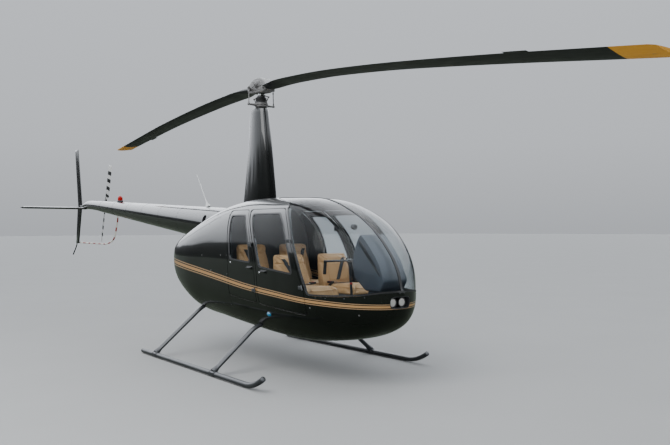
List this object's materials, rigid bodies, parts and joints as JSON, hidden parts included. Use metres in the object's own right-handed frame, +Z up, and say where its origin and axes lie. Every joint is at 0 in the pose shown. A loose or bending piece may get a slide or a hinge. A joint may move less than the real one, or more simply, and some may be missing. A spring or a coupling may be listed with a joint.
{
  "type": "four-seat piston helicopter",
  "caption": "Light helicopter on skids with an egg-shaped glazed cabin, tall mast fairing, slim tail boom, hinged doors and free-turning rotors.",
  "frame": {"origin": "on the ground, under the middle of the whole machine's box with its rotor parked fore and aft", "axes": "+X forward along the fuselage, +Y to the machine's left, +Z up"},
  "size_m": [11.9522, 2.1984, 3.2717],
  "materials": {
    "black_paint": "high-gloss black paint with thin gold coach lines",
    "glazing": "clear acrylic glazing, faintly blue",
    "dark_trim": "satin charcoal trim and seals",
    "tan_leather": "tan leather, softly grained, with sewn seams",
    "grey_metal": "machined and painted light alloy",
    "gear_paint": "dark grey satin paint",
    "blade_paint": "satin black blade paint with a yellow tip",
    "tail_blade_paint": "white with black bands",
    "white_paint": "white gloss paint",
    "red_lens": "red translucent lens",
    "guard_paint": "white tube with red bands",
    "exhaust_steel": "heat-tinted steel",
    "lamp": "bright lamp reflectors in a black tray"
  },
  "bodies": {
    "airframe": {"hull": "black_paint", "door_posts_right": "black_paint", "door_posts_left": "black_paint", "roof_panel": "black_paint", "top_cowl": "black_paint", "engine_cowl_right": "black_paint", "engine_cowl_left": "black_paint", "tail_cowl": "black_paint", "mast_fairing": "black_paint", "tail_cone": "black_paint", "upper_fin": "black_paint", "lower_fin": "black_paint", "stabiliser": "black_paint", "windshield_right": "glazing", "windshield_left": "glazing", "windshield_strip": "dark_trim", "cabin_floor": "dark_trim", "instrument_pod": "dark_trim", "cyclic_stick": "dark_trim", "cooling_fan": "dark_trim", "front_seat_right": "tan_leather", "front_seat_left": "tan_leather", "rear_seat_right": "tan_leather", "rear_seat_left": "tan_leather", "engine": "grey_metal", "tail_gearbox": "grey_metal", "skid_right": "gear_paint", "skid_left": "gear_paint", "front_cross_tube": "gear_paint", "rear_cross_tube": "gear_paint", "antenna": "white_paint", "beacon": "red_lens", "tail_rotor_guard": "guard_paint", "exhaust": "exhaust_steel", "landing_lamps": "lamp"},
    "main_rotor": {"rotor_shaft": "grey_metal", "rotor_hub": "grey_metal", "blade_front": "blade_paint", "blade_aft": "blade_paint"},
    "tail_rotor": {"tail_rotor_hub": "grey_metal", "tail_blade_upper": "tail_blade_paint", "tail_blade_lower": "tail_blade_paint"},
    "front_door_right": {"front_door_right": "black_paint", "front_door_window_right": "glazing"},
    "front_door_left": {"front_door_left": "black_paint", "front_door_window_left": "glazing"},
    "rear_door_right": {"rear_door_right": "black_paint", "rear_door_window_right": "glazing"},
    "rear_door_left": {"rear_door_left": "black_paint", "rear_door_window_left": "glazing"}
  },
  "joints": [
    {"name": "main_rotor_spin", "type": "hinge", "parent": "airframe", "child": "main_rotor", "pos_m": [0.94628, 0.02884, 3.15], "axis": [0, 0, 1], "continuous": true},
    {"name": "tail_rotor_spin", "type": "hinge", "parent": "airframe", "child": "tail_rotor", "pos_m": [-4.94672, 0.29884, 1.968], "axis": [0, 1, 0], "continuous": true},
    {"name": "front_door_right_hinge", "type": "hinge", "parent": "airframe", "child": "front_door_right", "pos_m": [2.67228, -0.61516, 0.93], "axis": [-0.4389, 0.0185, 0.8983], "range_deg": [0, 75]},
    {"name": "rear_door_right_hinge", "type": "hinge", "parent": "airframe", "child": "rear_door_right", "pos_m": [1.89828, -0.65016, 0.86], "axis": [-0.2264, 0.0317, 0.9735], "range_deg": [0, 75]},
    {"name": "front_door_left_hinge", "type": "hinge", "parent": "airframe", "child": "front_door_left", "pos_m": [2.67228, 0.67284, 0.93], "axis": [0.4389, 0.0185, -0.8983], "range_deg": [0, 75]},
    {"name": "rear_door_left_hinge", "type": "hinge", "parent": "airframe", "child": "rear_door_left", "pos_m": [1.89828, 0.70784, 0.86], "axis": [0.2264, 0.0317, -0.9735], "range_deg": [0, 75]}
  ]
}
